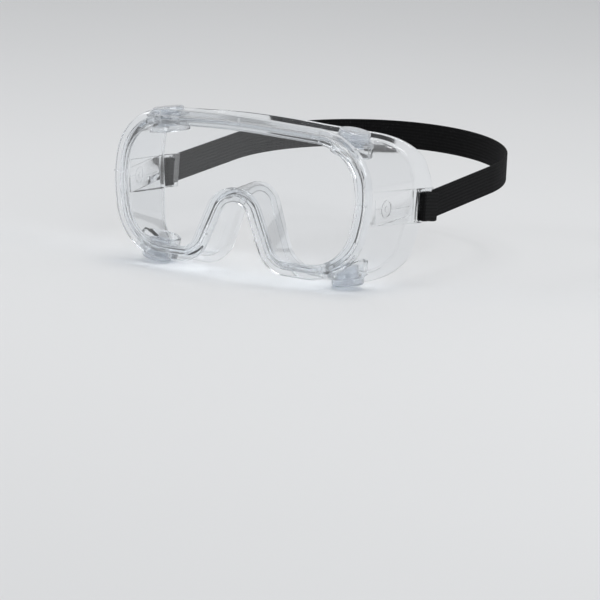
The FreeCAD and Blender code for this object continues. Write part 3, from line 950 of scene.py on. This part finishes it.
def vent_plastic():
    """Milky translucent moulding."""
    if "vent_plastic" in MATERIALS:
        return MATERIALS["vent_plastic"]
    nodes = Nodes("vent_plastic")
    shader = nodes.principled(IOR=1.3, Transmission_Weight=0.85, Coat_Weight=1.0, Coat_Roughness=0.08,
                              Coat_IOR=1.5)
    cloud = nodes.noise(300, 3)
    ramp = nodes.add("ShaderNodeMix", data_type="RGBA")
    ramp.inputs["A"].default_value = (0.78, 0.81, 0.85, 1)
    ramp.inputs["B"].default_value = (0.88, 0.90, 0.93, 1)
    nodes.link(cloud, ramp.inputs["Factor"])
    nodes.link(ramp.outputs["Result"], shader.inputs["Base Color"])
    nodes.link(nodes.spread(cloud, 0.12, 0.28), shader.inputs["Roughness"])
    nodes.link(nodes.bump(nodes.noise(900, 2), 0.00008), shader.inputs["Normal"])
    return clear("vent_plastic", shader, nodes, (0.80, 0.82, 0.84), (1, 1, 1), 0)


def woven_elastic():
    """Black woven elastic: lengthwise ribs crossed by fine picks, with a soft sheen."""
    nodes = Nodes("woven_elastic")
    shader = nodes.principled(Specular_IOR_Level=0.12, Sheen_Weight=0.05, Sheen_Roughness=0.5,
                              Sheen_Tint=(0.35, 0.36, 0.38, 1))
    where = nodes.add("ShaderNodeUVMap", uv_map="weave")
    waves = []
    for direction, scale in (("Y", 170.0), ("X", 320.0)):
        wave = nodes.add("ShaderNodeTexWave", wave_type="BANDS", bands_direction=direction,
                         Scale=scale, Distortion=1.2)
        wave.inputs["Detail Scale"].default_value = 2.0
        nodes.link(where.outputs["UV"], wave.inputs["Vector"])
        waves.append(wave.outputs["Fac"])
    weave = nodes.add("ShaderNodeMath", operation="MULTIPLY")
    nodes.link(waves[0], weave.inputs[0])
    nodes.link(waves[1], weave.inputs[1])
    colour = nodes.add("ShaderNodeMix", data_type="RGBA")
    colour.inputs["A"].default_value = (0.0012, 0.0012, 0.0014, 1)
    colour.inputs["B"].default_value = (0.006, 0.006, 0.0065, 1)
    nodes.link(weave.outputs[0], colour.inputs["Factor"])
    nodes.link(colour.outputs["Result"], shader.inputs["Base Color"])
    nodes.link(nodes.spread(nodes.noise(700, 2), 0.72, 0.92), shader.inputs["Roughness"])
    nodes.link(nodes.bump(weave.outputs[0], 0.00025), shader.inputs["Normal"])
    nodes.link(shader.outputs[0], nodes.out.inputs["Surface"])
    return nodes.material


def floor_finish():
    nodes = Nodes("floor_finish")
    shader = nodes.principled(Roughness=0.6, Specular_IOR_Level=0.2)
    tone = nodes.add("ShaderNodeMix", data_type="RGBA")
    tone.inputs["A"].default_value = (0.68, 0.685, 0.69, 1)
    tone.inputs["B"].default_value = (0.70, 0.705, 0.71, 1)
    nodes.link(nodes.noise(3, 2), tone.inputs["Factor"])
    nodes.link(tone.outputs["Result"], shader.inputs["Base Color"])
    nodes.link(shader.outputs[0], nodes.out.inputs["Surface"])
    return nodes.material


# ---------------------------------------------------------------- studio

AZIMUTH = math.radians(28.004)
ELEVATION = math.radians(10.786)
ROLL = math.radians(2.874)
CAMERA_DISTANCE = 2.33476
# metres right and up, which places the goggles left of and above the middle of the picture
CAMERA_SHIFT = (0.036698, -0.058401)
CAMERA_LENS = 257.64


def make_camera():
    back = Vector((math.sin(AZIMUTH) * math.cos(ELEVATION), -math.cos(AZIMUTH) * math.cos(ELEVATION),
                   math.sin(ELEVATION)))
    right = Vector((math.cos(AZIMUTH), math.sin(AZIMUTH), 0))
    up = back.cross(right)
    rolled_right = right * math.cos(ROLL) + up * math.sin(ROLL)
    rolled_up = up * math.cos(ROLL) - right * math.sin(ROLL)
    aim = Vector((0, FRONT_Y * MM, 0))
    place = aim + rolled_right * CAMERA_SHIFT[0] + rolled_up * CAMERA_SHIFT[1] + back * CAMERA_DISTANCE
    data = bpy.data.cameras.new("camera")
    data.lens = CAMERA_LENS
    data.sensor_width = 36
    data.clip_end = 50
    camera = bpy.data.objects.new("camera", data)
    turn = Matrix((rolled_right, rolled_up, back)).transposed().to_4x4()
    camera.matrix_world = Matrix.Translation(place) @ turn
    bpy.context.scene.collection.objects.link(camera)
    bpy.context.scene.camera = camera


def make_floor():
    low = cad_box[0][2] / MM - 0.3
    half = 6000
    corners = [(-half, -half, low), (half, -half, low), (half, half, low), (-half, half, low)]
    floor = new_object("floor", corners, [(0, 1, 2, 3)])
    floor.data.materials.append(floor_finish())


def softbox(name, place, size, power, target=(0, 0.03, 0)):
    data = bpy.data.lights.new(name, "AREA")
    data.shape = "RECTANGLE"
    data.size, data.size_y = size
    data.energy = power
    lamp = bpy.data.objects.new(name, data)
    lamp.location = place
    lamp.rotation_euler = (Vector(place) - Vector(target)).to_track_quat("Z", "Y").to_euler()
    bpy.context.scene.collection.objects.link(lamp)


def make_light():
    world = bpy.data.worlds.new("studio")
    bpy.context.scene.world = world
    world.use_nodes = True
    background = world.node_tree.nodes["Background"]
    background.inputs["Color"].default_value = (0.95, 0.96, 0.975, 1)
    background.inputs["Strength"].default_value = 0.6
    softbox("softbox_top", (0.1, 0.2, 1.6), (0.7, 0.7), 10)
    softbox("softbox_front", (0.05, -2.2, 0.24), (0.5, 0.45), 3)
    softbox("softbox_left", (-1.7, -0.9, 0.9), (0.5, 1.0), 8)
    softbox("softbox_right", (1.6, -0.2, 0.9), (0.4, 1.0), 8)
    bpy.context.scene.view_settings.view_transform = "Standard"


# ---------------------------------------------------------------- build

make_camera()
make_frame()
make_lens()
for level_name in LEVELS:
    for side_name, side in SIDES.items():
        label = f"{level_name}_{side_name}"
        make_vent_seat(label, vent_matrix(side, level_name))
        make_vent_cap(label, vent_matrix(side, level_name))
make_strap()
make_floor()
make_light()
